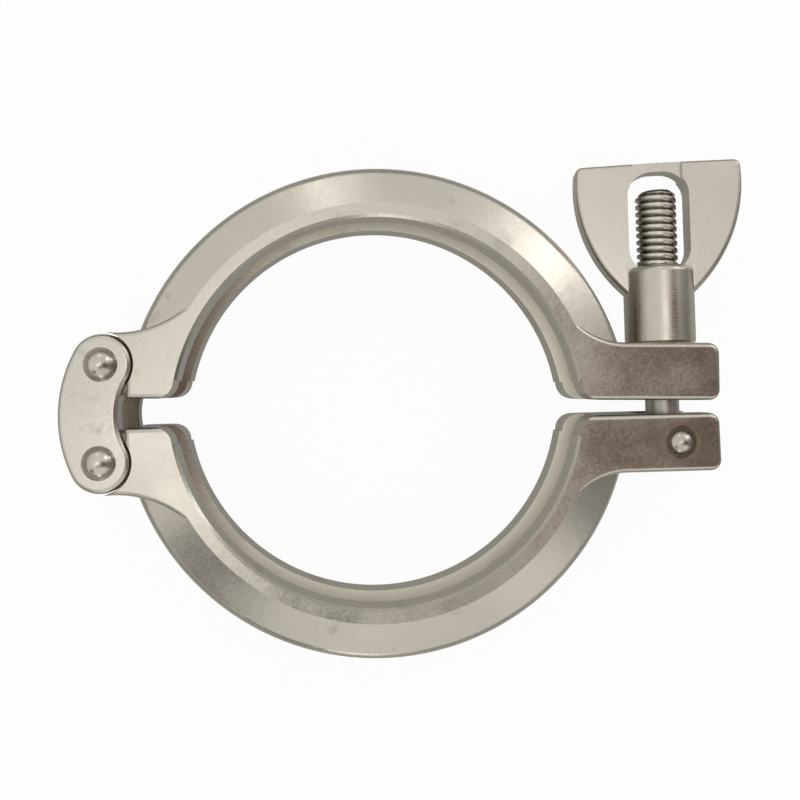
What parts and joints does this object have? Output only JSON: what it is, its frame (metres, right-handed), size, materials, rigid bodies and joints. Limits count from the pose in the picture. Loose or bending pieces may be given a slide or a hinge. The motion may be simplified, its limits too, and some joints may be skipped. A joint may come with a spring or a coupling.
{
  "type": "sanitary hinged clamp",
  "caption": "Double-pin hinged clamp for sanitary ferrules: two cast half rings with an inner V groove, closed by a swing bolt and a wing nut.",
  "frame": {"origin": "on the ring axis, halfway across the width, between the arc centres of the two halves", "axes": "+Z along the pipe axis, +X from the hinge towards the ears, +Y along the bolt towards the wing nut"},
  "size_m": [0.1298, 0.0947, 0.0216],
  "materials": {
    "cast_stainless": "satin, tumbled casting",
    "rivet_stainless": "bright, lightly polished",
    "bolt_stainless": "rolled thread, semi-bright",
    "nut_stainless": "satin wings, turned hub"
  },
  "bodies": {
    "lower_half": {"lower_half": "cast_stainless", "bolt_pin": "rivet_stainless"},
    "hinge_link": {"front_link": "cast_stainless", "rear_link": "cast_stainless", "upper_hinge_pin": "rivet_stainless", "lower_hinge_pin": "rivet_stainless"},
    "upper_half": {"upper_half": "cast_stainless"},
    "eye_bolt": {"eye_bolt": "bolt_stainless"},
    "wing_nut": {"wing_nut": "nut_stainless"}
  },
  "joints": [
    {"name": "bolt_swing", "type": "hinge", "parent": "lower_half", "child": "eye_bolt", "pos_m": [0.05613, -0.00587, 0], "axis": [0, 0, -1], "range_deg": [0, 84]},
    {"name": "nut_travel", "type": "slide", "parent": "eye_bolt", "child": "wing_nut", "axis": [-0.0175, 0.9998, 0], "range_m": [0, 0.028]},
    {"name": "lower_hinge", "type": "hinge", "parent": "lower_half", "child": "hinge_link", "pos_m": [-0.0511, -0.00998, 0], "axis": [0, 0, 1], "range_deg": [0, 5.1]},
    {"name": "upper_hinge", "type": "hinge", "parent": "hinge_link", "child": "upper_half", "pos_m": [-0.0511, 0.00812, 0], "axis": [0, 0, 1], "range_deg": [0, 5.5]}
  ],
  "couplings": [
    {"joint": "nut_travel", "follows": "bolt_swing", "m_per_rad": 0.019},
    {"joint": "lower_hinge", "follows": "bolt_swing", "ratio": 0.06},
    {"joint": "upper_hinge", "follows": "bolt_swing", "ratio": 0.065}
  ]
}
